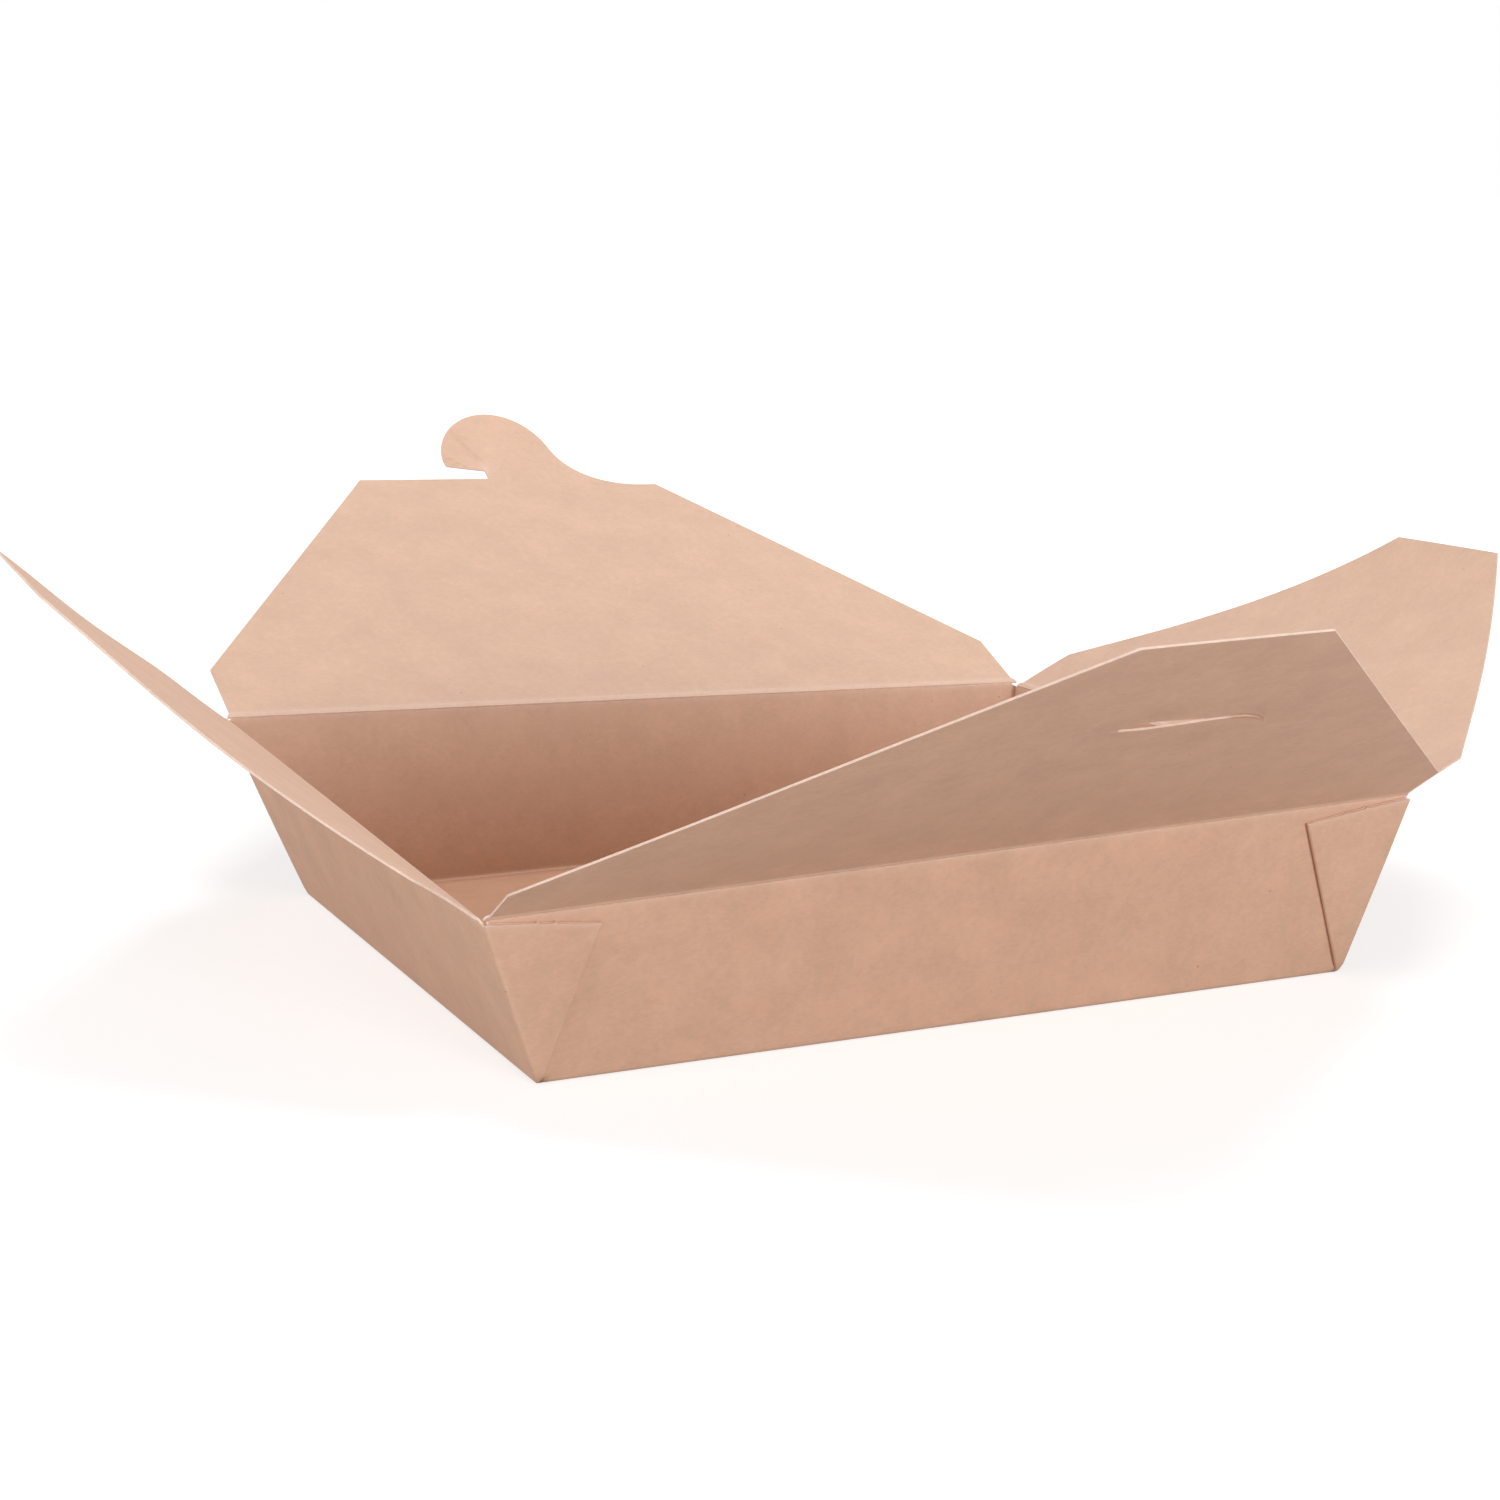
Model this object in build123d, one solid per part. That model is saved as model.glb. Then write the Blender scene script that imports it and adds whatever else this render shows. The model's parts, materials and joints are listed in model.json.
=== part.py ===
from build123d import *
import os
from math import cos, radians, sin

os.makedirs("parts", exist_ok=True)

# Takeaway box: one die-cut sheet of kraft board, folded into a shallow tray with four flaps.
# Millimetres, +Z up, the origin at the middle of the base's underside.
# The tray is one solid. Each flap is a solid of its own, because it turns at its fold.

# the sheet
board = 0.5
fold_gap = 0.5
side_fold_drop = 1.0

# the tray: its base, and how far each rim lies outside its base edge at full height
base_length = 195.0
base_width = 141.4
wall_height = 39.6
left_spread = 15.5
right_spread = 9.1
front_spread = 7.3
back_spread = 10.6
rim_twist = 2.9

# the folded corner ears, two layers of board glued flat outside the front and back walls
ear_thickness = 2 * board
ear_angle = 37.0
ear_drop = 1.4
ear_end_drop = 3.6
ear_lift = 1.0
ear_overhang = 1.04 * ear_thickness

# the flaps: how far each leans outward from upright, and its outline in the flat sheet
front_lean = 54.3
back_lean = 66.9
left_lean = 49.4
right_lean = 60.8
front_reach = 101.0
back_reach = 105.3
side_reach = 89.0
front_shoulder = 12.8
back_shoulder = 19.8
side_shoulder = 17.4
front_tip = 41.0
back_tip = 88.0
side_tip = 37.0
side_inset = 1.2

# the side flaps bow outward between fold and tip
left_bow = 2.8
right_bow = 3.8
bow_place = 0.6
root_slope = -0.03
tip_slope = 0.25

# the hook on the back flap: a round head on a neck, beside a notch, curled up a little
head_radius = 17.0
head_centre = 13.5
neck_radius = 14.0
neck_half = 6.0
heel_height = 10.0
notch_step = 4.0
notch_width = 3.8
hook_curl = 6.5
curl_slope = 0.4

# the slit in the front flap that takes the hook
slit_height = 63.0
slit_start = 3.0
slit_bend = 21.0
slit_end = 31.5
slit_drop = 7.0
slit_width = 0.6

# how far the tool that cuts a flap's outline reaches either side of the sheet
cutter_depth = 10.0


def corner(side_x, side_y):
    """The outer corner of the tray, at its base and at its slightly twisted rim."""
    spread_x = left_spread if side_x < 0 else right_spread
    spread_y = front_spread if side_y < 0 else back_spread
    climb = 1 - side_x * side_y * rim_twist / wall_height
    foot = Vector(side_x * base_length / 2, side_y * base_width / 2, 0)
    rise = Vector(side_x * spread_x, side_y * spread_y, wall_height)
    return foot, foot + rise * climb


front_left = corner(-1, -1)
front_right = corner(1, -1)
back_left = corner(-1, 1)
back_right = corner(1, 1)


def panel(points, thickness, towards):
    """A flat sheet on a closed outline, thickened to the side that towards points to."""
    outline = make_face(Polyline(*points, close=True)).face()
    normal = outline.normal_at()
    if normal.dot(towards) < 0:
        normal = normal * -1
    return extrude(outline, amount=thickness, dir=normal)


def wall(first, second, drop=0.0, overhang=0.0):
    """A wall between two corners; the overhang carries it round the ears at both ends."""
    (foot_a, rim_a), (foot_b, rim_b) = first, second
    reach = (foot_b - foot_a).normalized() * overhang
    top_a = rim_a + (foot_a - rim_a).normalized() * (board / 2 + fold_gap + drop)
    top_b = rim_b + (foot_b - rim_b).normalized() * (board / 2 + fold_gap + drop)
    points = [foot_a - reach, foot_b + reach, top_b + reach, top_a - reach]
    return panel(points, board, (foot_a + foot_b) * -1)


def ear(own, neighbour):
    """The doubled triangle folded round one corner onto the wall towards its neighbour."""
    foot, rim = own
    up = (rim - foot).normalized()
    across = neighbour[0] - foot
    across = (across - up * across.dot(up)).normalized()
    folded = up * cos(radians(ear_angle)) + across * sin(radians(ear_angle))
    wall_up = Vector(0, rim.Y - foot.Y, rim.Z - foot.Z).normalized()
    folded_length = ((rim - foot).dot(wall_up) - ear_end_drop) / folded.dot(wall_up)
    points = [foot + up * ear_lift, foot + up * ((rim - foot).length - ear_drop),
              foot + folded * folded_length, foot + folded * ear_lift]
    return panel(points, ear_thickness, Vector(0, foot.Y, 0))


def fold_end(side_x, side_y, drop=0.0):
    """The end of a fold at a corner, halfway through the board and as far down as its drop."""
    foot, rim = corner(side_x, side_y)
    return rim + (foot - rim).normalized() * drop - Vector(side_x, side_y, 0) * (board / 2)


def flap_plane(start, end, lean):
    """X runs along the fold, Y up the flap at its lean, and Z out of its inner face."""
    fold = (end - start).normalized()
    outward = Vector(0, 0, 1).cross(fold).normalized()
    upright = fold.cross(outward)
    flap_up = outward * sin(radians(lean)) + upright * cos(radians(lean))
    return Plane(origin=start, x_dir=fold, z_dir=fold.cross(flap_up))


def sheet(profile, width):
    """Board of the given width along X whose section follows a profile in the YZ plane."""
    lower = Pos(0, 0, -board / 2) * (Plane.YZ * profile)
    upper = Pos(0, 0, board / 2) * (Plane.YZ * profile)
    section = make_face([*lower.edges(), *upper.edges(),
                         Line(lower @ 0, upper @ 0), Line(lower @ 1, upper @ 1)])
    return extrude(section, amount=width, dir=(1, 0, 0))


def outline(fold_length, shoulder, reach, tip, step=0.0):
    """The outline of a flap: short square shoulders, then sides slanting to the tip."""
    middle = fold_length / 2
    return make_face(Polyline(
        (side_inset, 0), (side_inset, shoulder), (middle - tip / 2, reach + step),
        (middle + tip / 2, reach), (fold_length - side_inset, shoulder),
        (fold_length - side_inset, 0), close=True))


def hook(middle):
    """The hook, with a concave run up from the tip edge on one side and a notch on the other."""
    run_start = middle + (head_radius + neck_radius)
    meet = middle + head_radius
    heel = middle - (head_radius ** 2 - (head_centre - heel_height) ** 2) ** 0.5
    neck = middle - neck_half
    notch_top = notch_step + notch_width
    run = RadiusArc((run_start, 0), (meet, neck_radius), neck_radius)
    head = ThreePointArc((meet, neck_radius), (middle, head_centre + head_radius), (heel, heel_height))
    rest = Polyline((heel, heel_height), (neck, notch_top), (neck, -notch_step),
                    (run_start, -notch_step), (run_start, 0))
    return Pos(0, back_reach) * make_face([run, head, *rest.edges()])


def tip_clear(middle):
    """What the step cuts away: the tip edge is lower on the side of the hook's concave run."""
    side = back_tip / 2 + notch_step
    return Pos(middle - neck_half, back_reach) * Rectangle(
        side + neck_half, 2 * notch_step, align=(Align.MIN, Align.MIN))


def slit(middle):
    """A narrow cut along the flap that bends down towards the fold at one end."""
    straight = Line((middle + slit_start, slit_height), (middle - slit_bend, slit_height))
    bend = TangentArc((middle - slit_bend, slit_height), (middle - slit_end, slit_height - slit_drop),
                      tangent=(-1, 0))
    return trace(straight + bend, slit_width)


def bowed(bow):
    """The section of a side flap: it sinks outward to its belly and curls up to the tip."""
    return Spline((0, 0), (side_reach * bow_place, -bow), (side_reach, 0),
                  tangents=((1, root_slope), (1, tip_slope)))


def flap(start, end, lean, profile, shape):
    """A flap standing on its fold: a sheet cut to a shape, with a rounded root on the fold."""
    fold_length = (end - start).length
    cutter = extrude(shape, amount=cutter_depth, both=True)
    blank = sheet(profile, fold_length)
    root = Cylinder(board / 2, fold_length - 2 * side_inset)
    root = Pos(fold_length / 2, 0, 0) * Rot(0, 90, 0) * root
    return flap_plane(start, end, lean) * ((blank & cutter) + root)


base = Box(base_length, base_width, board, align=(Align.CENTER, Align.CENTER, Align.MIN))
tray = base + wall(front_left, front_right) + wall(back_left, back_right)
tray += wall(front_left, back_left, side_fold_drop, ear_overhang)
tray += wall(front_right, back_right, side_fold_drop, ear_overhang)
tray += ear(front_left, front_right) + ear(front_right, front_left)
tray += ear(back_left, back_right) + ear(back_right, back_left)

front_fold = (fold_end(1, -1), fold_end(-1, -1))
back_fold = (fold_end(-1, 1), fold_end(1, 1))
left_fold = (fold_end(-1, -1, side_fold_drop), fold_end(-1, 1, side_fold_drop))
right_fold = (fold_end(1, 1, side_fold_drop), fold_end(1, -1, side_fold_drop))


def length(fold):
    return (fold[1] - fold[0]).length


front_shape = outline(length(front_fold), front_shoulder, front_reach, front_tip)
front_shape -= slit(length(front_fold) / 2)
front_flap = flap(*front_fold, front_lean, Line((0, 0), (front_reach, 0)), front_shape)

back_middle = length(back_fold) / 2
back_shape = outline(length(back_fold), back_shoulder, back_reach, back_tip, notch_step)
back_shape = back_shape - tip_clear(back_middle) + hook(back_middle)
back_curl = Spline((back_reach, 0), (back_reach + head_centre + head_radius, hook_curl),
                   tangents=((1, 0), (1, curl_slope)))
back_flap = flap(*back_fold, back_lean, Line((0, 0), (back_reach, 0)) + back_curl, back_shape)

left_shape = outline(length(left_fold), side_shoulder, side_reach, side_tip)
left_flap = flap(*left_fold, left_lean, bowed(left_bow), left_shape)

right_shape = outline(length(right_fold), side_shoulder, side_reach, side_tip)
right_flap = flap(*right_fold, right_lean, bowed(right_bow), right_shape)

nodes = {"tray": tray, "front_flap": front_flap, "back_flap": back_flap,
         "left_flap": left_flap, "right_flap": right_flap}
for name, shape in nodes.items():
    print(name, len(shape.solids()), "solid,", round(shape.volume), "mm3")
    export_step(shape, f"parts/{name}.step")

for name, fold in (("front", front_fold), ("back", back_fold), ("left", left_fold), ("right", right_fold)):
    print(name, "fold from", fold[1], "to", fold[0])
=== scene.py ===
import json
import math

import bmesh
import bpy
import numpy as np
from mathutils import Matrix, Vector


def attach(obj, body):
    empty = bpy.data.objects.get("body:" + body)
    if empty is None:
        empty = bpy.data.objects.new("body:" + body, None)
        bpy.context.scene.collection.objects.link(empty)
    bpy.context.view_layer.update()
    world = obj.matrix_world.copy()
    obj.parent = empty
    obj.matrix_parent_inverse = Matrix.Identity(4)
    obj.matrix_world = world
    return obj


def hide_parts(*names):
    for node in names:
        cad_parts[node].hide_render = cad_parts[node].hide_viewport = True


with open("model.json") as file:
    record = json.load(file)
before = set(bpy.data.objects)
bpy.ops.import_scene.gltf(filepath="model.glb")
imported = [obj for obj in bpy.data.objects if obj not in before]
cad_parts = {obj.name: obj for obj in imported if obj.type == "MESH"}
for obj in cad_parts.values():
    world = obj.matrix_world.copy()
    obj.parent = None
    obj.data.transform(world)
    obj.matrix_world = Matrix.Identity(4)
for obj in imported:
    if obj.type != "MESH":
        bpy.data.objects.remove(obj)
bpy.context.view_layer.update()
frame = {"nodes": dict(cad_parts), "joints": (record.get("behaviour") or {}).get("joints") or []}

# A kraft takeaway box: a tray folded from one sheet, and four flaps that turn on its rim.
# Lengths in the settings are millimetres; everything is scaled to metres as it is placed.

mm = 0.001
boardThickness = 0.5
easedEdge = 0.07
easedAngle = 55                                         # edges sharper than this are eased
weldDistance = 0.003
slimEdge = 0.001
joints = {joint["name"]: joint for joint in frame["joints"]}
print("frame loaded:", len(frame["nodes"]), "nodes,", len(joints), "folds")


def addNode(tree, kind, inputs=None, **settings):
    # one node: its settings, then its sockets, each given a value or a link
    node = tree.nodes.new(kind)
    for name, value in settings.items():
        setattr(node, name, value)
    for name, value in (inputs or {}).items():
        if isinstance(value, bpy.types.NodeSocket):
            tree.links.new(value, node.inputs[name])
        else:
            node.inputs[name].default_value = value
    return node


def mixColour(tree, share, first, second, blend="MIX"):
    # sockets 6 and 7 and output 2 are the ones for colours
    node = addNode(tree, "ShaderNodeMix", {0: share, 6: first, 7: second},
                   data_type="RGBA", blend_type=blend)
    return node.outputs[2]


def calculate(tree, operation, first, second=0.0, clamp=False):
    # one sum on two numbers or links
    node = addNode(tree, "ShaderNodeMath", {0: first, 1: second}, operation=operation, use_clamp=clamp)
    return node.outputs[0]


def spread(tree, value, low, high, newLow=0.0, newHigh=1.0):
    # value between low and high becomes a value between newLow and newHigh
    node = addNode(tree, "ShaderNodeMapRange", {"Value": value, "From Min": low, "From Max": high,
                                                "To Min": newLow, "To Max": newHigh})
    return node.outputs[0]


def noise(tree, place, scale, detail, roughness=0.5):
    # soft noise between 0 and 1, with scale patches to the metre
    node = addNode(tree, "ShaderNodeTexNoise",
                   {"Vector": place, "Scale": scale, "Detail": detail, "Roughness": roughness})
    return node.outputs["Fac"]


paperMarks = {
    "cloudScale": 85.0, "mottleScale": 420.0, "fibreScale": 1500.0, "fibreStretch": (0.45, 1.0, 1.0),
    "cellScale": 190.0, "fleckSize": 0.055, "fleckRarity": 0.86, "fleckStrength": 0.55,
    "warmScale": 150.0, "warmMost": 0.35, "warmTint": (1.02, 0.975, 0.93, 1),
    "tornScale": 900.0, "tornLeast": 0.45, "paintedShadeTint": (0.86, 0.78, 0.72, 1),
    "roughLeast": 0.66, "roughMost": 0.78, "roughCrease": 0.1,
}


def makeKraftGroup():
    # Paper times one plus clouds times cloudiness plus mottle and fibres times grain; then warmer
    # patches, a dark fleck in a few cells, paler paper by the crease mask, and painted shade, darker
    # paper in creases and cuts, by the painted shade mask.
    marks = paperMarks
    group = bpy.data.node_groups.new("kraft paper", "ShaderNodeTree")
    for name, kind in (("Place", "NodeSocketVector"), ("Paper", "NodeSocketColor"),
                       ("Fleck", "NodeSocketColor"), ("Stretched", "NodeSocketColor"),
                       ("Crease", "NodeSocketFloat"), ("Painted Shade", "NodeSocketFloat"),
                       ("Cloudiness", "NodeSocketFloat"), ("Grain", "NodeSocketFloat")):
        group.interface.new_socket(name, in_out="INPUT", socket_type=kind)
    for name, kind in (("Colour", "NodeSocketColor"), ("Roughness", "NodeSocketFloat"),
                       ("Height", "NodeSocketFloat")):
        group.interface.new_socket(name, in_out="OUTPUT", socket_type=kind)
    inside = addNode(group, "NodeGroupInput").outputs
    result = addNode(group, "NodeGroupOutput").inputs
    place = inside["Place"]
    fibrePlace = addNode(group, "ShaderNodeMapping",
                         {"Vector": place, "Scale": marks["fibreStretch"]}).outputs[0]
    clouds = spread(group, noise(group, place, marks["cloudScale"], 4.0, 0.6), 0.3, 0.7, -1.0, 1.0)
    mottle = spread(group, noise(group, place, marks["mottleScale"], 3.0, 0.6), 0.3, 0.7, -1.0, 1.0)
    fibres = spread(group, noise(group, fibrePlace, marks["fibreScale"], 2.0, 0.6), 0.3, 0.7, -1.0, 1.0)
    cells = addNode(group, "ShaderNodeTexVoronoi", {"Vector": place, "Scale": marks["cellScale"]}).outputs
    chosen = addNode(group, "ShaderNodeSeparateColor", {"Color": cells["Color"]}).outputs[0]
    speck = calculate(group, "LESS_THAN", cells["Distance"], marks["fleckSize"])
    rare = calculate(group, "GREATER_THAN", chosen, marks["fleckRarity"])
    fleck = calculate(group, "MULTIPLY", speck, rare)
    shade = calculate(group, "MULTIPLY", clouds, inside["Cloudiness"])
    shade = calculate(group, "ADD", shade, calculate(group, "MULTIPLY", mottle, inside["Grain"]))
    shade = calculate(group, "ADD", shade, calculate(group, "MULTIPLY", fibres, inside["Grain"]))
    shade = calculate(group, "ADD", shade, 1.0)
    grey = addNode(group, "ShaderNodeCombineXYZ", {0: shade, 1: shade, 2: shade}).outputs[0]
    colour = mixColour(group, 1.0, inside["Paper"], grey, "MULTIPLY")
    warm = spread(group, noise(group, place, marks["warmScale"], 2.0), 0.42, 0.72, 0.0, marks["warmMost"])
    warmer = mixColour(group, 1.0, colour, marks["warmTint"], "MULTIPLY")
    colour = mixColour(group, warm, colour, warmer)
    fleckShare = calculate(group, "MULTIPLY", fleck, marks["fleckStrength"])
    colour = mixColour(group, fleckShare, colour, inside["Fleck"])
    torn = noise(group, place, marks["tornScale"], 3.0, 0.7)
    torn = spread(group, torn, 0.3, 0.65, marks["tornLeast"], 1.0)
    stretched = calculate(group, "MULTIPLY", inside["Crease"], torn, True)
    colour = mixColour(group, stretched, colour, inside["Stretched"])
    # painted shade: darker, warmer paper where the mask marks shade in a crease or a closed cut
    shadedPaper = mixColour(group, 1.0, colour, marks["paintedShadeTint"], "MULTIPLY")
    colour = mixColour(group, inside["Painted Shade"], colour, shadedPaper)
    group.links.new(colour, result["Colour"])
    rough = spread(group, mottle, -1.0, 1.0, marks["roughLeast"], marks["roughMost"])
    rougher = calculate(group, "MULTIPLY", stretched, marks["roughCrease"])
    group.links.new(calculate(group, "ADD", rough, rougher), result["Roughness"])
    height = calculate(group, "ADD", calculate(group, "MULTIPLY", mottle, 0.5), fibres)
    raised = calculate(group, "MULTIPLY", stretched, torn)
    group.links.new(calculate(group, "ADD", height, raised), result["Height"])
    return group


kraftGroup = makeKraftGroup()
reliefDepth = 0.02                                      # how deep the paper's grain is, for the bump
# painted shade: from the top height down to the bottom height the paper is darkened and warmed by the
# tint, standing in for the dim light bounced between the tray's walls
paintedDeepShade = {"top": 38.0, "bottom": 3.0, "tint": (0.84, 0.71, 0.62, 1)}


def boardMaterial(name, look):
    # kraft paper on a matte, very slightly glossy shader; painted shade makes the paper darker and warmer
    # towards the bottom of the tray, as a straight ramp of height
    material = bpy.data.materials.new(name)
    material.use_nodes = True
    tree = material.node_tree
    shader = tree.nodes["Principled BSDF"]
    place = addNode(tree, "ShaderNodeTexCoord").outputs["Object"]
    crease = addNode(tree, "ShaderNodeAttribute", attribute_name="crease").outputs["Fac"]
    paintedShade = addNode(tree, "ShaderNodeAttribute", attribute_name="paintedShade").outputs["Fac"]
    paper = addNode(tree, "ShaderNodeGroup", node_tree=kraftGroup)
    for socket, value in {"Paper": look["paper"], "Fleck": look["fleck"], "Stretched": look["stretched"],
                          "Cloudiness": look["cloudiness"], "Grain": look["grain"]}.items():
        paper.inputs[socket].default_value = value
    for socket, value in {"Place": place, "Crease": crease, "Painted Shade": paintedShade}.items():
        tree.links.new(value, paper.inputs[socket])
    bump = addNode(tree, "ShaderNodeBump", {"Height": paper.outputs["Height"], "Strength": look["bump"],
                                            "Distance": reliefDepth * mm})
    height = addNode(tree, "ShaderNodeSeparateXYZ", {0: place}).outputs["Z"]
    deepShade = spread(tree, height, paintedDeepShade["top"] * mm, paintedDeepShade["bottom"] * mm, 0.0, look["deepShade"])
    colour = paper.outputs["Colour"]
    colour = mixColour(tree, deepShade, colour, mixColour(tree, 1.0, colour, paintedDeepShade["tint"], "MULTIPLY"))
    tree.links.new(colour, shader.inputs["Base Color"])
    tree.links.new(paper.outputs["Roughness"], shader.inputs["Roughness"])
    tree.links.new(bump.outputs[0], shader.inputs["Normal"])
    shader.inputs["Specular IOR Level"].default_value = look["gloss"]
    return material


# deepShade is how much painted shade a look takes towards the bottom of the tray; only the inside takes it
looks = {
    "kraft board inside": {"paper": (0.705, 0.473, 0.353, 1), "fleck": (0.40, 0.25, 0.16, 1),
                           "stretched": (0.80, 0.60, 0.49, 1), "cloudiness": 0.042, "grain": 0.03,
                           "bump": 0.35, "gloss": 0.25, "deepShade": 1.0},
    "kraft board outside": {"paper": (0.695, 0.436, 0.308, 1), "fleck": (0.36, 0.21, 0.13, 1),
                            "stretched": (0.80, 0.57, 0.45, 1), "cloudiness": 0.06, "grain": 0.034,
                            "bump": 0.4, "gloss": 0.2, "deepShade": 0.0},
    "kraft board cut edge": {"paper": (0.82, 0.63, 0.53, 1), "fleck": (0.55, 0.38, 0.28, 1),
                             "stretched": (0.84, 0.66, 0.57, 1), "cloudiness": 0.03, "grain": 0.05,
                             "bump": 0.6, "gloss": 0.15, "deepShade": 0.0},
}
boardMaterials = [boardMaterial(name, look) for name, look in looks.items()]
print("materials made")


def unit(vectors):
    # vectors of length one
    return vectors / np.linalg.norm(vectors, axis=-1, keepdims=True)


def steps(*runs):
    # runs of evenly spaced numbers, each given as start, end and how many steps, joined end to end
    parts = [np.linspace(start, end, count, endpoint=False) for start, end, count in runs]
    return np.concatenate(parts + [[runs[-1][1]]])


def ruled(lower, upper, shares):
    # each row of points lies the same share of the way from the lower edge to the upper edge
    return lower + (upper - lower) * np.asarray(shares)[:, None, None]


def hill(distance, width):
    # a smooth hill, 1 at its middle and falling away over its width
    return np.exp(-(distance / width) ** 2)


def segmentDistance(flat, start, end):
    # how far each flat point is from a straight segment
    run = np.array(end) - start
    share = np.clip(((flat - start) @ run) / (run @ run), 0, 1)
    return np.linalg.norm(flat - start - share[..., None] * run, axis=-1)


def makeSheet(name, patches, body, inner, ease=None):
    # Patches are grids of points with a crease and a painted shade mask. Edges that meet are welded, and
    # the sheet gets the thickness of the board, its inside facing inner. Its edges are bevelled, or
    # thinned by the share that ease gives for each point.
    points = np.concatenate([grid.reshape(-1, 3) for grid, crease, paintedShade in patches]) * mm
    faces = []
    start = 0
    for grid, crease, paintedShade in patches:
        index = start + np.arange(grid.shape[0] * grid.shape[1]).reshape(grid.shape[:2])
        around = [index[:-1, :-1], index[:-1, 1:], index[1:, 1:], index[1:, :-1]]
        faces.append(np.stack(around, -1).reshape(-1, 4))
        start += index.size
    mesh = bpy.data.meshes.new(name)
    mesh.from_pydata(points.tolist(), [], np.concatenate(faces).tolist())
    for place, label in ((1, "crease"), (2, "paintedShade")):
        mask = mesh.attributes.new(label, "FLOAT", "POINT")
        mask.data.foreach_set("value", np.concatenate([patch[place].ravel() for patch in patches]))
    if ease is not None:
        mesh.attributes.new("ease", "FLOAT", "POINT").data.foreach_set("value", ease)
    shell = bmesh.new()
    shell.from_mesh(mesh)
    bmesh.ops.remove_doubles(shell, verts=shell.verts, dist=weldDistance * mm)
    bmesh.ops.dissolve_degenerate(shell, edges=shell.edges, dist=slimEdge * mm)
    bmesh.ops.recalc_face_normals(shell, faces=shell.faces)
    shell.to_mesh(mesh)
    shell.free()
    normals = np.empty(len(mesh.polygons) * 3, np.float32)
    areas = np.empty(len(mesh.polygons), np.float32)
    mesh.polygons.foreach_get("normal", normals)
    mesh.polygons.foreach_get("area", areas)
    if areas @ normals.reshape(-1, 3) @ np.array(inner) < 0:
        mesh.flip_normals()
    mesh.shade_smooth()
    for material in boardMaterials:
        mesh.materials.append(material)
    piece = bpy.data.objects.new(name, mesh)
    bpy.context.scene.collection.objects.link(piece)
    solidify = piece.modifiers.new("board thickness", "SOLIDIFY")
    solidify.thickness = boardThickness * mm
    solidify.offset = 0
    solidify.material_offset = 1
    solidify.material_offset_rim = 2
    if ease is None:
        bevel = piece.modifiers.new("eased edges", "BEVEL")
        bevel.width = easedEdge * mm
        bevel.segments = 2
        bevel.limit_method = "ANGLE"
        bevel.angle_limit = math.radians(easedAngle)
        bevel.use_clamp_overlap = False
        bevel.harden_normals = True
    else:
        thinned = np.zeros(len(mesh.vertices), np.float32)
        mesh.attributes["ease"].data.foreach_get("value", thinned)
        group = piece.vertex_groups.new(name="board thickness")
        for share in np.unique(thinned):
            group.add(np.flatnonzero(thinned == share).tolist(), float(share), "REPLACE")
        solidify.vertex_group = group.name
    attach(piece, body)
    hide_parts(body)
    print(name, "made:", len(mesh.polygons), "faces")


tray = {
    "length": 195.0, "width": 141.4, "wallHeight": 39.6,
    "leftSpread": 15.5, "rightSpread": 9.1, "frontSpread": 7.3, "backSpread": 10.6, "rimTwist": 2.9,
    "wallTop": 0.28, "sideTop": 1.02,             # how far the walls end below the middle of their folds
    "earAngle": 37.0, "earTop": 0.65, "earEnd": 3.5, "layerRadius": 0.28, "bendRadius": 0.7,
    "cornerRoom": 0.85, "pleatStart": 0.06,
    # how far each corner stands open inside, and where nicks of board stand up on its ear's edge
    "slack": {(-1, -1): 0.3, (1, -1): 0.4, (-1, 1): 0.5, (1, 1): 1.1},
    "nubs": {(-1, -1): (0.42, 0.58), (1, -1): (0.40, 0.62), (-1, 1): (0.5,), (1, 1): (0.35, 0.7)},
    "nubHeight": 0.45, "nubWidth": 0.012, "nubColumns": np.array([-0.02, -0.008, 0.008, 0.02]),
    "turnColumns": 7, "layerColumns": 15, "longColumns": 64, "sideColumns": 48,
    # how many rows the foot of a wall has, then runs of rows: from and to a share of the wall
    "footRows": 5,
    "rows": ((0.12, 0.9, 17), (0.9, 0.97, 4), (0.97, 0.994, 4), (0.994, 0.998, 1), (0.998, 1.0, 1)),
    "rimRows": (0.994, 0.998, 1), "rimEase": (1, 0.94, 0.72), "baseBend": 0.9, "bendRows": 6,
    "wave": 0.22, "waveLengths": (21, 27), "waveShifts": (0.7, 0.4),
    "backWear": 0.8, "frontWear": 0.15, "foldWear": 0.5, "earWear": 0.12, "cornerWear": 0.06,
}


def trayCorner(sideX, sideY):
    # the middle of the board at a corner of the base and at the rim above it
    spreadX = tray["leftSpread"] if sideX < 0 else tray["rightSpread"]
    spreadY = tray["frontSpread"] if sideY < 0 else tray["backSpread"]
    climb = 1 - sideX * sideY * tray["rimTwist"] / tray["wallHeight"]
    foot = np.array([sideX * tray["length"] / 2, sideY * tray["width"] / 2, 0])
    rim = foot + np.array([sideX * spreadX, sideY * spreadY, tray["wallHeight"]]) * climb
    inset = np.array([sideX, sideY, 0]) * boardThickness / 2
    return foot - inset + [0, 0, boardThickness / 2], rim - inset


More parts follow.
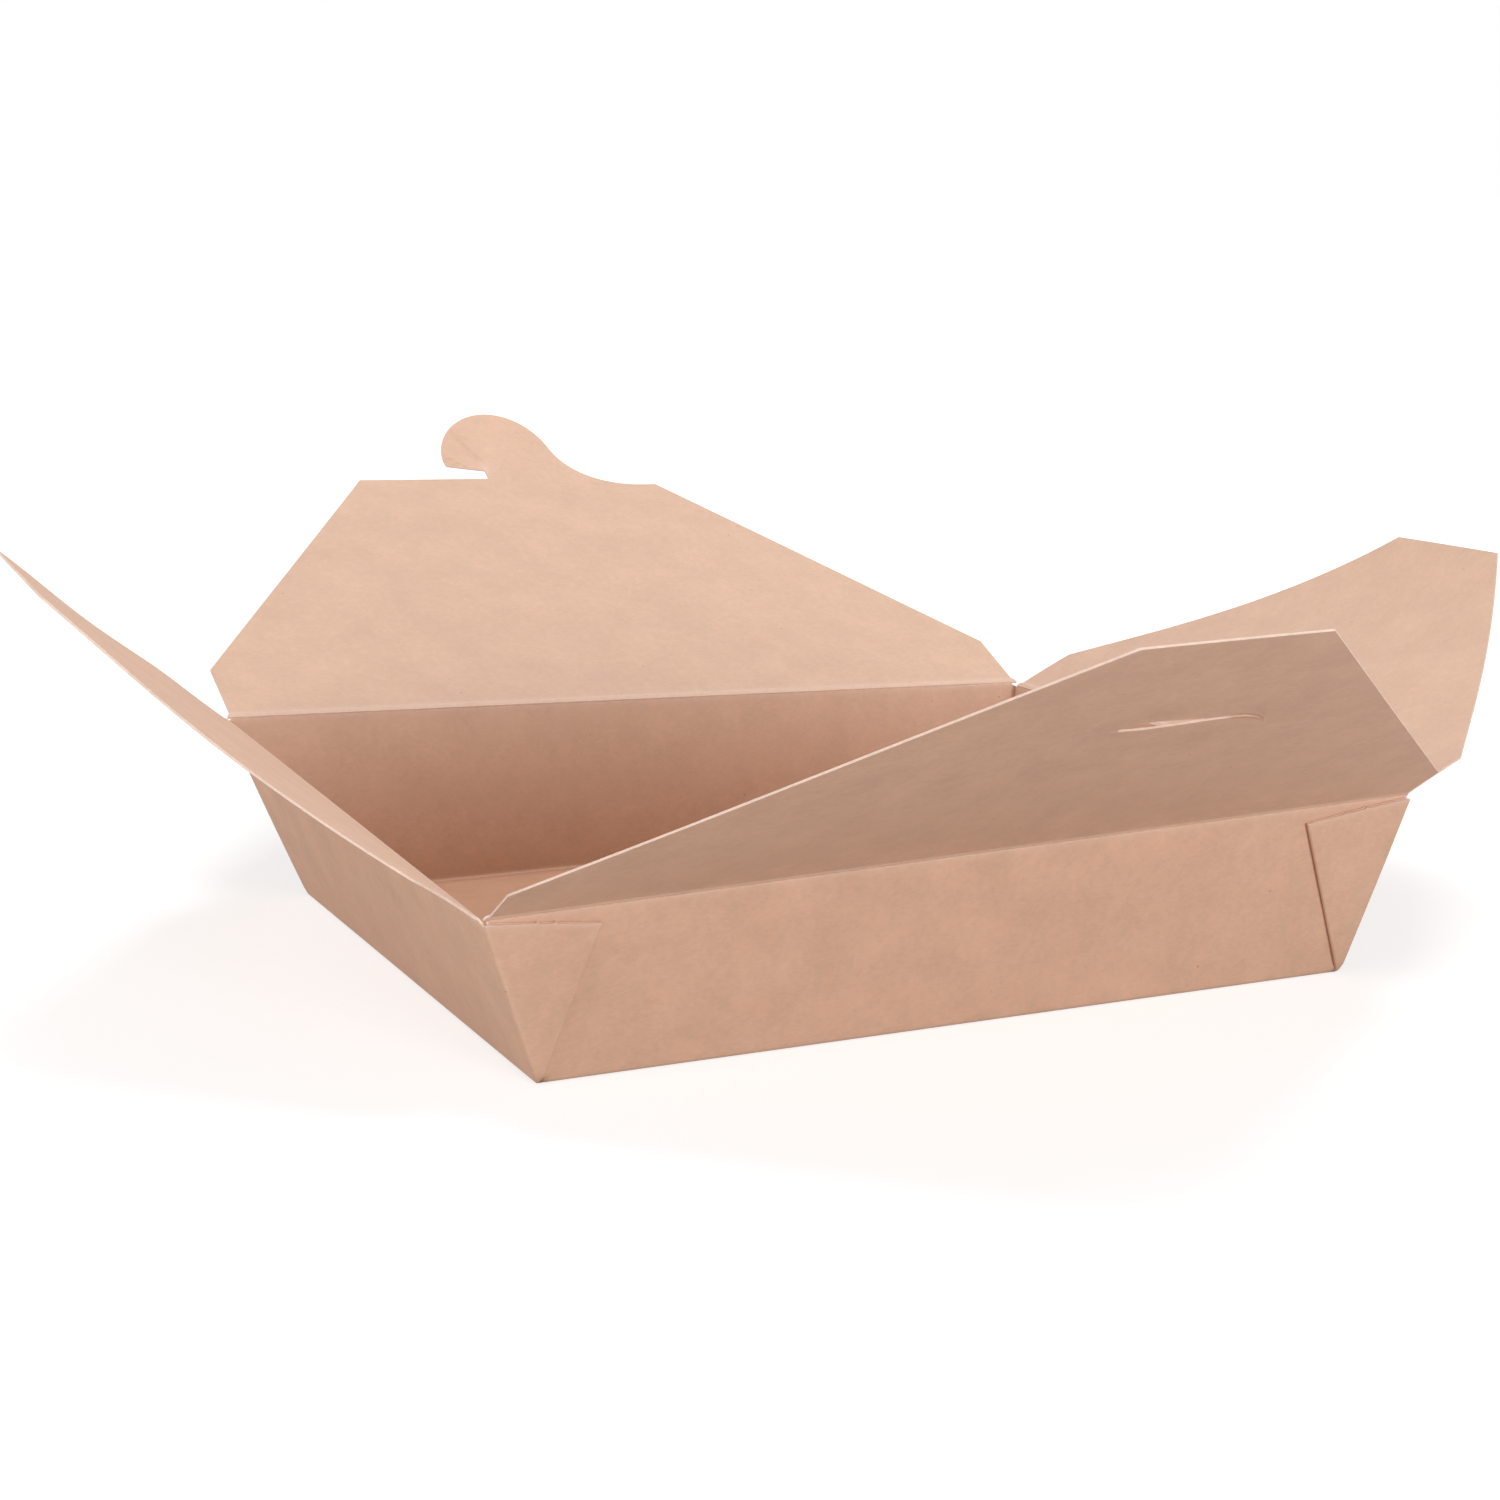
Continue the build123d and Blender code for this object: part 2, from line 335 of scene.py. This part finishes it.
def pleatColumns(nubs):
    # The section round a corner, from the end of the long wall to the start of the side wall.
    # Every column is a mix of the pleat's widths: the room at the corner, the ear's width, the
    # layer's radius and the bend's radius, with its layer number outward and its place on the bend.
    turn = np.linspace(0, np.pi, tray["turnColumns"])
    evenly = np.linspace(0, 1, tray["layerColumns"])
    layer = np.unique(np.concatenate([evenly] + [tray["nubColumns"] + n for n in nubs]))
    bend = np.linspace(0, 1, tray["turnColumns"])
    zero, one = np.zeros_like, np.ones_like
    nub = sum(hill(layer - n, tray["nubWidth"]) for n in nubs) * tray["nubHeight"]
    back = layer[::-1]
    runs = [
        (one(turn), zero(turn), -np.sin(turn), zero(turn),
         1 - np.cos(turn), zero(turn), turn / np.pi, zero(turn)),
        (1 - layer, layer, zero(layer), zero(layer), 2 * one(layer), zero(layer), 1 + layer, nub),
        (zero(turn), one(turn), np.sin(turn), zero(turn),
         3 - np.cos(turn), zero(turn), 2 * one(turn), zero(turn)),
        (zero(back), back, zero(back), 1 - back, 4 * one(back), zero(back), 1 + back, nub[::-1]),
        (zero(bend), zero(bend), zero(bend), (1 - bend) ** 2,
         4 * one(bend), bend ** 2, 3 + bend, zero(bend)),
    ]
    return np.concatenate([np.array(runs[0])] + [np.array(run)[:, 1:] for run in runs[1:]], axis=1)


def pleat(sideX, sideY, rows):
    # One corner of the tray: the doubled ear folded flat outside the long wall. A point is the foot
    # of the corner, plus its climb up the corner's edge, plus its width along the long wall, plus
    # its layers outward. The widths and layers shrink to nothing at the foot.
    foot, rim = trayCorner(sideX, sideY)
    otherRim = trayCorner(-sideX, sideY)[1]
    rise = rim - foot
    along = np.array([-sideX, 0.0, 0.0])
    inward = np.array([0.0, -sideY, 0.0])
    outward = np.cross(along, rise)
    outward = unit(outward * -np.sign(outward @ inward))
    wallUp = unit(rise - along * (rise @ along))
    height = rise @ wallUp
    sideLean = math.atan2(-(rise @ along), height)
    earRatio = math.tan(sideLean) + math.tan(math.radians(tray["earAngle"]) - sideLean)
    rimSlope = ((otherRim - rim) @ wallUp) / ((otherRim - rim) @ along)
    room, ear, radius, bend, layer, side, place, nub = pleatColumns(tray["nubs"][sideX, sideY])
    drops = [tray[name] for name in ("wallTop", "earTop", "earEnd", "earTop", "sideTop")]
    drop = np.interp(place, range(len(drops)), drops)
    top = 1 + (rimSlope * ear * height * earRatio - drop + nub) / height
    climb = np.asarray(rows)[:, None] * top
    grown = np.clip(climb / tray["pleatStart"], 0, 1)
    roomWidth = tray["cornerRoom"] * grown + tray["slack"][sideX, sideY] * climb
    layerRadius = tray["layerRadius"] * grown
    bendRadius = tray["bendRadius"] * grown
    across = room * roomWidth + ear * climb * height * earRatio
    across = across + radius * layerRadius + bend * bendRadius
    points = foot + rise * climb[..., None] + along * across[..., None]
    points = points + outward * (layer * layerRadius)[..., None]
    return points + inward * (side * bendRadius)[..., None], place


def trayLoop(rows):
    # the walls and the corner pleats, once round the tray, for rows of climb from base to rim
    corners = {key: pleat(*key, rows) for key in tray["slack"]}
    pleats = {key: value[0] for key, value in corners.items()}
    places = {key: np.broadcast_to(value[1], value[0].shape[:2]) for key, value in corners.items()}
    longShares = np.linspace(0, 1, tray["longColumns"] + 1)[1:-1]
    sideShares = np.linspace(0, 1, tray["sideColumns"] + 1)[1:-1]

    def wall(first, last, shares):
        # a straight run of columns between two columns
        return first[:, None] + (last - first)[:, None] * shares[None, :, None]

    frontLeft, frontRight = pleats[-1, -1], pleats[1, -1]
    backLeft, backRight = pleats[-1, 1], pleats[1, 1]
    runs = [wall(frontLeft[:, 0], frontRight[:, 0], longShares), frontRight,
            wall(frontRight[:, -1], backRight[:, -1], sideShares), backRight[:, ::-1],
            wall(backRight[:, 0], backLeft[:, 0], longShares), backLeft,
            wall(backLeft[:, -1], frontLeft[:, -1], sideShares), frontLeft[:, ::-1]]
    long, side = np.zeros((len(rows), longShares.size)), np.full((len(rows), sideShares.size), 4.0)
    spots = [long, places[1, -1], side, places[1, 1][:, ::-1], long, places[-1, 1], side,
             places[-1, -1][:, ::-1]]
    loop, spot = np.concatenate(runs, axis=1), np.concatenate(spots, axis=1)
    return np.concatenate([loop, loop[:, :1]], axis=1), np.concatenate([spot, spot[:, :1]], axis=1)


def rippled(points):
    # the walls' slight waves: none at the base and the rim, a sine along the wall between them
    climb = np.sin(np.pi * np.clip(points[..., 2] / tray["wallHeight"], 0, 1))
    waveX = np.sin(points[..., 1] / tray["waveLengths"][0] + tray["waveShifts"][0]) * climb
    waveY = np.sin(points[..., 0] / tray["waveLengths"][1] + tray["waveShifts"][1]) * climb
    return points + np.stack([waveX, waveY, np.zeros_like(climb)], -1) * tray["wave"]


def makeTray():
    # Rows up the wall stand closer at both folds. Below them the wall runs into the base along a
    # curve with the foot of the wall as its middle handle, and the base is a flat grid.
    firstRow = tray["baseBend"] / tray["wallHeight"]
    rows = steps((firstRow, tray["rows"][0][0], tray["footRows"]), *tray["rows"])
    walls, spot = trayLoop(rows)
    foot = trayLoop(np.array([0.0]))[0][0]
    halfSize = np.array([tray["length"] - boardThickness, tray["width"] - boardThickness]) / 2
    inset = foot * np.append(1 - tray["baseBend"] / halfSize, 1)
    shares = np.linspace(0, 1, tray["bendRows"])[:, None, None]
    bend = inset * (1 - shares) ** 2 + foot * 2 * shares * (1 - shares) + walls[0] * shares ** 2
    worn = np.where(foot[None, :, 1] > 0, tray["backWear"], tray["frontWear"])
    worn = worn * np.sin(np.pi * shares[..., 0])
    bendCrease = np.broadcast_to(worn, bend.shape[:2])
    fold = tray["foldWear"] * hill((rows[:, None] - 1) * tray["wallHeight"], 1.0)
    # spot 2 is the fold down the middle of an ear, and 3.5 the bend into the side wall
    corner = tray["earWear"] * hill(spot - 2, 0.004) + tray["cornerWear"] * hill(spot - 3.5, 0.4)
    crease = np.clip(fold + corner * np.clip(rows[:, None] * 6, 0, 1), 0, 1)
    columnShares = np.linspace(-1, 1, tray["longColumns"] + 1)
    rowShares = np.linspace(-1, 1, tray["sideColumns"] + 1)
    flatHalf = halfSize - tray["baseBend"]
    baseX, baseY = np.meshgrid(columnShares * flatHalf[0], rowShares * flatHalf[1])
    base = np.stack([baseX, baseY, np.full_like(baseX, boardThickness / 2)], -1)
    patches = [(rippled(walls), crease, np.zeros_like(crease)),
               (rippled(bend), bendCrease, np.zeros_like(bendCrease)),
               (base, np.zeros_like(baseX), np.zeros_like(baseX))]
    rimEase = np.repeat(np.interp(rows, tray["rimRows"], tray["rimEase"]), walls.shape[1])
    ease = np.concatenate([rimEase, np.ones(bendCrease.size + baseX.size)])
    makeSheet("tray_board", patches, "tray", (0, 0, 1), np.float32(ease))


makeTray()

# heights of the first rows of a flap, close together over its bead
flapRows = steps((-0.25, 2.15, 12), (2.15, 5.0, 5))
bead = {"height": 0.2, "place": 0.9, "width": 0.45}     # the ridge pressed in beside a fold
cornerReach = 0.3                                       # how far from the fold's end its root starts
warpRise = 40                                           # the height where a flap's warp is full


def flapAxes(jointName, lean):
    # along the fold, up the leaning flap, and out of its inner face, from the fold's middle
    joint = joints[jointName]
    along = -unit(np.array(joint["axis"], float))
    outward = unit(np.cross([0, 0, 1], along))
    upright = np.cross(along, outward)
    lean = math.radians(lean)
    up = outward * math.sin(lean) + upright * math.cos(lean)
    return np.array(joint["pos_m"]) / mm, along, up, np.cross(along, up)


def placed(settings, flat, lift):
    # flat points of a flap, lifted off its plane, as points in space
    origin, along, up, normal = flapAxes(settings["joint"], settings["lean"])
    return origin + along * flat[..., :1] + up * flat[..., 1:] + normal * lift[..., None]


def flapLift(settings, flat):
    # the bead beside the fold and a faint warp that grows from nothing at the fold
    u, v = flat[..., 0], flat[..., 1]
    warp = np.sin(u / settings["warpLength"] + settings["warpShift"]) * np.clip(v / warpRise, 0, 1)
    return bead["height"] * hill(v - bead["place"], bead["width"]) + settings["warp"] * warp


def foldCrease(flat):
    # the paler, stretched paper beside the fold
    return 0.8 * hill(flat[..., 1] - 0.8, 1.0)


def hermite(place, start, end, startHeight, endHeight, startSlope, endSlope):
    # a cubic between two heights with a slope at each end
    width = end - start
    s = np.clip((place - start) / width, 0, 1)
    first = (2 * s ** 3 - 3 * s ** 2 + 1) * startHeight + (s ** 3 - 2 * s ** 2 + s) * width * startSlope
    return first + (3 * s ** 2 - 2 * s ** 3) * endHeight + (s ** 3 - s ** 2) * width * endSlope


def rootPatch(settings, columns):
    # from the fold straight up to the shoulders, finer beside the fold
    # and a little wider there, to reach the corner of the tray
    rows = np.concatenate([flapRows, steps((5.0, settings["shoulder"], 4))[1:]])[:, None]
    wider = 1 + (settings["inset"] - cornerReach) * hill(np.maximum(rows, 0), 1.0) / columns.max()
    return np.stack(np.broadcast_arrays(columns * wider, rows), -1)


# the front flap, with the slit for the hook

frontFlap = {
    "joint": "front_fold", "lean": 54.3, "foldLength": 218.695, "inset": 1.2, "shoulder": 12.8,
    "reach": 101.0, "tipHalf": 20.5, "warp": 0.2, "warpLength": 26.0, "warpShift": 0.9,
    "scoreHeight": 62.2, "scoreSlope": -0.05, "slitStart": 3.0, "slitBend": -21.0, "slitEnd": -31.5,
    "slitDrop": 7.0, "slitRound": 0.86, "lipWidth": 7.0, "lipPush": 0.8, "lipRaise": 0.35,
    "lipLeast": 0.3, "lipPeak": 3, "lipFullness": 0.8, "lowerShare": 0.4, "crowding": 1.7,
    "columns": (12, 22, 30, 24), "lowerRows": 26, "upperRows": 24,
    "scoreWear": 0.22, "tearWear": 0.4, "tipWear": 0.9, "slitEndShade": 3,
}


def scoreLine(u):
    # level with a slight slope, curving down a quarter round at the far end of the slit
    f = frontFlap
    line = f["scoreHeight"] + f["scoreSlope"] * np.maximum(u, f["slitBend"])
    turn = np.clip((f["slitBend"] - u) / (f["slitBend"] - f["slitEnd"]), 0, 1) * f["slitRound"]
    fall = (1 - np.sqrt(1 - turn ** 2)) / (1 - math.sqrt(1 - f["slitRound"] ** 2))
    return line - fall * f["slitDrop"] + 0.03 * np.maximum(f["slitEnd"] - u, 0)


def makeFrontFlap():
    # Three ruled patches: fold to shoulder, shoulder to score line, score line to tip. The last two
    # part at the slit, each lifted off the flap by the gape times a hill about the score line.
    f = frontFlap
    half = f["foldLength"] / 2 - f["inset"]

    def halfWidth(v):
        return half + (f["tipHalf"] - half) * (v - f["shoulder"]) / (f["reach"] - f["shoulder"])

    edge = halfWidth(f["scoreHeight"])
    places = (-edge, f["slitEnd"], f["slitBend"], f["slitStart"], edge)
    u = steps(*zip(places[:-1], places[1:], f["columns"]))
    v = scoreLine(u)
    share = u / halfWidth(v)
    share = share / np.where(u > 0, share[-1], -share[0])
    u = share * halfWidth(v)
    shoulder = np.stack([share * half, np.full_like(u, f["shoulder"])], -1)
    score = np.stack([u, v], -1)
    tip = np.stack([share * f["tipHalf"], np.full_like(u, f["reach"])], -1)
    root = rootPatch(f, share * half)
    lower = ruled(shoulder, score, 1 - steps((1.0, 0.0, f["lowerRows"])) ** f["crowding"])
    upper = ruled(score, tip, steps((0.0, 1.0, f["upperRows"])) ** f["crowding"])
    along = np.clip((u - f["slitEnd"]) / (f["slitStart"] - f["slitEnd"]), 0, 1)
    # how far the lips part, widest near the start of the slit and closing at its curved end
    gape = np.sin(np.pi * along ** f["lipPeak"]) ** f["lipFullness"]
    inBend = np.clip((f["slitBend"] - u) / (f["slitBend"] - f["slitEnd"]), 0, 1)
    least = f["lipLeast"] * (1 - inBend ** 3)
    gape = np.where((along > 0) & (along < 1), np.maximum(gape, least), 0)
    closed = np.where(u > f["slitEnd"] - 0.1, np.clip(inBend * 3, 0, 1), 0)
    lowerNear = hill(lower[..., 1] - v, f["lipWidth"])
    lowerLift = flapLift(f, lower) - f["lowerShare"] * f["lipPush"] * gape * lowerNear
    upperNear = hill(upper[..., 1] - v, f["lipWidth"])
    upperLift = flapLift(f, upper) + f["lipPush"] * gape * upperNear
    upper = upper.copy()
    upper[..., 1] += f["lipRaise"] * gape * upperNear
    patches = []
    tear = hill(u - f["slitStart"], 0.8)
    for flat, lift in ((root, flapLift(f, root)), (lower, lowerLift), (upper, upperLift)):
        crease, paintedShade = foldCrease(flat), np.zeros(flat.shape[:2])
        if flat is not root:
            # painted shade: a dark line along the closed, curved end of the slit
            paintedShade = closed * hill(flat[..., 1] - v, 0.55) * f["slitEndShade"]
            wear = (f["scoreWear"] + f["tearWear"] * tear) * (1 - closed)
            crease = crease + wear * hill(flat[..., 1] - v, 0.5)
            corner = np.linalg.norm(flat - [f["tipHalf"], f["reach"]], axis=-1)
            crease = crease + f["tipWear"] * hill(corner, 1.6)
        patches.append((placed(f, flat, lift), np.clip(crease, 0, 1), paintedShade))
    makeSheet("front_flap_board", patches, "front_flap", flapAxes(f["joint"], f["lean"])[3])


makeFrontFlap()

# the back flap, with the hook

backFlap = {
    "joint": "back_fold", "lean": 66.9, "foldLength": 219.65, "inset": 1.2, "shoulder": 19.8,
    "reach": 105.3, "step": 4.0, "tipHalf": 44.0, "warp": 0.25, "warpLength": 30.0, "warpShift": 0.0,
    "headRadius": 17.0, "headCentre": 12.4, "neckRadius": 23.5, "neckHalf": 6.0, "heelHeight": 10.0,
    "notchWidth": 3.8, "curl": 6.5, "curlSlope": 0.4, "headTurn": 58.0,
    "columnAnchors": (-14.0, 17.0, 60.0), "tipColumns": 20, "neckColumns": 33, "runColumns": 25,
    "lastColumns": 8, "bodyRows": 44, "headRows": 31, "creaseStart": 112, "creaseDepth": 0.25,
    # the hook's creases: start, end, width and strength
    "creases": (((-5.0, 116.0), (-11.5, 128.5), 0.6, 0.35), ((-17.2, 120.0), (-11.0, 115.0), 0.45, 0.6),
                ((-16.9, 117.6), (-13.5, 115.3), 0.4, 0.5)),
    "pale": ((-5.4, 113.0), (-5.2, 116.0), 1.2, 0.6),
}


def backLift(flat):
    # straight up to the tip, then the hook curls off the plane
    b = backFlap
    top = b["reach"] + b["headCentre"] + b["headRadius"]
    curl = hermite(flat[..., 1], b["reach"], top, 0, b["curl"], 0, b["curlSlope"])
    return flapLift(b, flat) + curl


def coons(bottom, right, top, left):
    # a patch between four edges: both ruled surfaces added, less the one through the corners
    s = np.linspace(0, 1, len(bottom))[None, :, None]
    t = np.linspace(0, 1, len(left))[:, None, None]
    across = left[:, None] * (1 - s) + right[:, None] * s
    upward = bottom[None] * (1 - t) + top[None] * t
    low = bottom[0] * (1 - s) + bottom[-1] * s
    high = top[0] * (1 - s) + top[-1] * s
    return across + upward - (low * (1 - t) + high * t)


def straight(start, end, count):
    # evenly spaced points from start to end
    return np.array(start, float) + (np.array(end, float) - start) * np.linspace(0, 1, count)[:, None]


def arc(centre, radius, start, end, count):
    # points round a circle, from one angle in degrees to another
    turn = np.radians(np.linspace(start, end, count))
    return np.array(centre) + radius * np.stack([np.cos(turn), np.sin(turn)], -1)


def creaseMask(flat, start, end, width, strength):
    # a smooth ridge of the given width along a straight segment
    return strength * hill(segmentDistance(flat, start, end), width)


def makeBackFlap():
    # Two ruled patches from the fold to the top edge, and a patch between four edges for the round
    # head of the hook. The top edge is the tip, the neck under the head, and a run back to the tip.
    b = backFlap
    half = b["foldLength"] / 2 - b["inset"]
    stepTop = b["reach"] + b["step"]
    notchTop = stepTop + b["notchWidth"]
    centre = np.array([0.0, b["reach"] + b["headCentre"]])
    apart = b["headRadius"] + b["neckRadius"]              # the head's round runs smoothly into the neck's
    neckCentre = np.array([math.sqrt(apart ** 2 - (b["neckRadius"] - b["headCentre"]) ** 2),
                           b["reach"] + b["neckRadius"]])
    meet = centre + (neckCentre - centre) * b["headRadius"] / apart
    heelY = b["reach"] + b["heelHeight"]
    heelX = -math.sqrt(b["headRadius"] ** 2 - (centre[1] - heelY) ** 2)
    neck = straight((-b["neckHalf"], stepTop), meet, b["neckColumns"])
    tipLeft = straight((-b["tipHalf"], stepTop), neck[0], b["tipColumns"])
    runTurn = math.degrees(math.atan2(*(meet - neckCentre)[::-1]))
    run = arc(neckCentre, b["neckRadius"], runTurn, -90, b["runColumns"])
    tipRight = straight(run[-1], (b["tipHalf"], b["reach"]), b["lastColumns"])
    top = np.concatenate([tipLeft, neck[1:], run[1:], tipRight[1:]])
    travelled = np.append(0, np.cumsum(np.linalg.norm(np.diff(top, axis=0), axis=1)))
    ends = np.cumsum([0, len(tipLeft) - 1, len(neck) - 1, len(run) - 1, len(tipRight) - 1])
    columns = np.interp(travelled, travelled[ends], [-half, *b["columnAnchors"], half])
    root = rootPatch(b, columns)
    shoulder = np.stack([columns, np.full_like(columns, b["shoulder"])], -1)
    body = ruled(shoulder, top, np.linspace(0, 1, b["bodyRows"]))
    startTurn = math.degrees(math.atan2(meet[1] - centre[1], meet[0] - centre[0]))
    heelTurn = 180 + math.degrees(math.asin((centre[1] - heelY) / b["headRadius"]))
    headSide = arc(centre, b["headRadius"], startTurn, b["headTurn"], b["headRows"])
    headSide[0] = meet
    headTop = arc(centre, b["headRadius"], heelTurn, b["headTurn"], b["neckColumns"])
    heelLine = np.concatenate([straight(neck[0], (-b["neckHalf"], notchTop), 10),
                               straight((-b["neckHalf"], notchTop), (heelX, heelY), 22)[1:]])
    head = coons(neck, headSide, headTop, heelLine)
    patches = []
    for flat in (root, body, head):
        lines = sum(creaseMask(flat, *crease) for crease in b["creases"])
        lines = lines * (flat[..., 1] > b["creaseStart"])
        pale = creaseMask(flat, *b["pale"])
        lift = backLift(flat) - b["creaseDepth"] * lines
        crease = np.clip(foldCrease(flat) + pale, 0, 1)
        # painted shade along the hook's creases, on top of their dent
        patches.append((placed(b, flat, lift), crease, np.clip(lines * 1.3, 0, 1)))
    makeSheet("back_flap_board", patches, "back_flap", flapAxes(b["joint"], b["lean"])[3])


makeBackFlap()

# the side flaps, bowed outward

sideFlaps = {
    "left": {"joint": "left_fold", "lean": 49.4, "foldLength": 158.75, "reach": 86.5, "tipHalf": 20.6,
             "bow": 2.2, "rootSlope": -0.034, "tipSlope": 0.045,
             "sag": 1.8, "twist": 4.0, "twistEase": 1.7,
             "warp": 0.0, "warpLength": 22.0, "warpShift": 0.2},
    "right": {"joint": "right_fold", "lean": 60.8, "foldLength": 158.24, "reach": 89.0, "tipHalf": 18.5,
              "bow": 3.8, "rootSlope": -0.03, "tipSlope": 0.25,
              "sag": 0.0, "twist": 0.0, "twistEase": 0.0,
              "warp": 0.2, "warpLength": 24.0, "warpShift": 1.4},
}
sideShape = {"inset": 1.2, "shoulder": 17.4, "bowPlace": 53.4, "bowEnd": 89.0, "twistSpan": 60.0,
             "twistStart": 16.0, "columns": 61, "rows": 37}


def bowLift(s, flat):
    # two cubics that share their slope and bend at the lowest place of the bow, then a twist
    # and a sag that grow towards the tip
    u, place, bow = flat[..., 0], flat[..., 1], s["bow"]
    low, high = s["bowPlace"], s["bowEnd"] - s["bowPlace"]
    pull = 3 * (low * bow / high - high * bow / low)
    slope = (pull - high * s["rootSlope"] - low * s["tipSlope"]) / (2 * (low + high))
    inner = hermite(place, 0, low, 0, -bow, s["rootSlope"], slope)
    outer = hermite(place, low, s["bowEnd"], -bow, 0, slope, s["tipSlope"])
    lift = np.where(place < 0, s["rootSlope"] * place, np.where(place < low, inner, outer))
    out = place / s["bowEnd"]
    twist = (s["twist"] * out - s["twistEase"] * out ** 2) * (1 - hill(place, s["twistStart"]))
    return lift + twist * u / s["twistSpan"] - s["sag"] * out ** 2


def makeSideFlap(side):
    # two ruled patches, fold to shoulder and shoulder to tip, lifted by the bow
    settings = {**sideShape, **sideFlaps[side]}
    half = settings["foldLength"] / 2 - settings["inset"]
    share = np.linspace(-1, 1, settings["columns"])
    root = rootPatch(settings, share * half)
    shoulder = np.stack([share * half, np.full_like(share, settings["shoulder"])], -1)
    tip = np.stack([share * settings["tipHalf"], np.full_like(share, settings["reach"])], -1)
    body = ruled(shoulder, tip, np.linspace(0, 1, settings["rows"]))
    patches = []
    for flat in (root, body):
        lift = flapLift(settings, flat) + bowLift(settings, flat)
        patches.append((placed(settings, flat, lift), foldCrease(flat), np.zeros(flat.shape[:2])))
    makeSheet(side + "_flap_board", patches, side + "_flap",
              flapAxes(settings["joint"], settings["lean"])[3])


makeSideFlap("left")
makeSideFlap("right")


studio = {
    "floorSize": 6.0, "floorColour": (0.5, 0.5, 0.5, 1), "glowNear": 0.7, "glowFar": 1.0,
    "nearReach": 0.3, "farReach": 0.9, "worldStrength": 0.34,
    # each lamp's place and size in metres, and its power
    "lamps": {"top": ((0.3, 0.3, 2.0), 1.0, 21.5), "front": ((0.3, -2.0, 0.45), 0.8, 20.5),
              "left": ((-2.0, -0.3, 0.35), 0.9, 18.5)},
}


def seenDirectly(tree):
    # 1 for rays that show the background itself: straight to the camera, or mirrored or through glass
    path = addNode(tree, "ShaderNodeLightPath").outputs
    seen = calculate(tree, "ADD", path["Is Camera Ray"], path["Is Glossy Ray"])
    return calculate(tree, "ADD", seen, path["Is Transmission Ray"], True)


def makeFloor():
    # a pale floor whose glow, seen only directly, rises with distance until it is white
    size = studio["floorSize"]
    mesh = bpy.data.meshes.new("floor")
    corners = [(-size, -size, 0), (size, -size, 0), (size, size, 0), (-size, size, 0)]
    mesh.from_pydata(corners, [], [(0, 1, 2, 3)])
    floor = bpy.data.objects.new("floor", mesh)
    bpy.context.scene.collection.objects.link(floor)
    material = bpy.data.materials.new("pale floor")
    material.use_nodes = True
    tree = material.node_tree
    shader = tree.nodes["Principled BSDF"]
    shader.inputs["Base Color"].default_value = studio["floorColour"]
    shader.inputs["Roughness"].default_value = 0.9
    shader.inputs["Specular IOR Level"].default_value = 0.0
    shader.inputs["Emission Color"].default_value = (1, 1, 1, 1)
    place = addNode(tree, "ShaderNodeTexCoord").outputs["Object"]
    away = addNode(tree, "ShaderNodeVectorMath", {0: place}, operation="LENGTH").outputs["Value"]
    glow = spread(tree, away, studio["nearReach"], studio["farReach"],
                  studio["glowNear"], studio["glowFar"])
    glow = calculate(tree, "MULTIPLY", seenDirectly(tree), glow)
    tree.links.new(glow, shader.inputs["Emission Strength"])
    mesh.materials.append(material)


def makeLight():
    # a soft white surround and three square lamps, each aimed at the box
    world = bpy.data.worlds.new("studio")
    bpy.context.scene.world = world
    world.use_nodes = True
    tree = world.node_tree
    tree.nodes.clear()
    soft = addNode(tree, "ShaderNodeBackground",
                   {"Color": (1, 1, 1, 1), "Strength": studio["worldStrength"]}).outputs[0]
    white = addNode(tree, "ShaderNodeBackground", {"Color": (1, 1, 1, 1), "Strength": 1.0}).outputs[0]
    mixed = addNode(tree, "ShaderNodeMixShader", {0: seenDirectly(tree), 1: soft, 2: white})
    addNode(tree, "ShaderNodeOutputWorld", {"Surface": mixed.outputs[0]})
    for name, (place, size, power) in studio["lamps"].items():
        lamp = bpy.data.lights.new(name, "AREA")
        lamp.size = size
        lamp.energy = power
        softbox = bpy.data.objects.new(name, lamp)
        softbox.location = place
        softbox.rotation_euler = Vector(place).to_track_quat("Z", "Y").to_euler()
        bpy.context.scene.collection.objects.link(softbox)


def makeCamera():
    # placed on a sphere about its target, then rolled
    view = {"lens": 66.03, "azimuth": -26.67, "elevation": 12.98, "roll": 1.564, "distance": 710.7,
            "target": (17.31, 80.85, 25.0), "shift": (0.0179, -0.0012)}
    azimuth, elevation = math.radians(view["azimuth"]), math.radians(view["elevation"])
    back = Vector((math.sin(azimuth) * math.cos(elevation), -math.cos(azimuth) * math.cos(elevation),
                   math.sin(elevation)))
    right = Vector((0, 0, 1)).cross(back).normalized()
    up = back.cross(right)
    roll = math.radians(view["roll"])
    turnedRight = right * math.cos(roll) + up * math.sin(roll)
    turnedUp = up * math.cos(roll) - right * math.sin(roll)
    place = (Vector(view["target"]) + back * view["distance"]) * mm
    lens = bpy.data.cameras.new("camera")
    lens.lens = view["lens"]
    lens.shift_x, lens.shift_y = view["shift"]
    lens.clip_start = 0.01
    camera = bpy.data.objects.new("camera", lens)
    turn = Matrix((turnedRight, turnedUp, back)).transposed().to_4x4()
    camera.matrix_world = Matrix.Translation(place) @ turn
    bpy.context.scene.collection.objects.link(camera)
    bpy.context.scene.camera = camera


makeFloor()
makeLight()
makeCamera()
bpy.context.scene.view_settings.view_transform = "Standard"
print("floor, light and camera made")
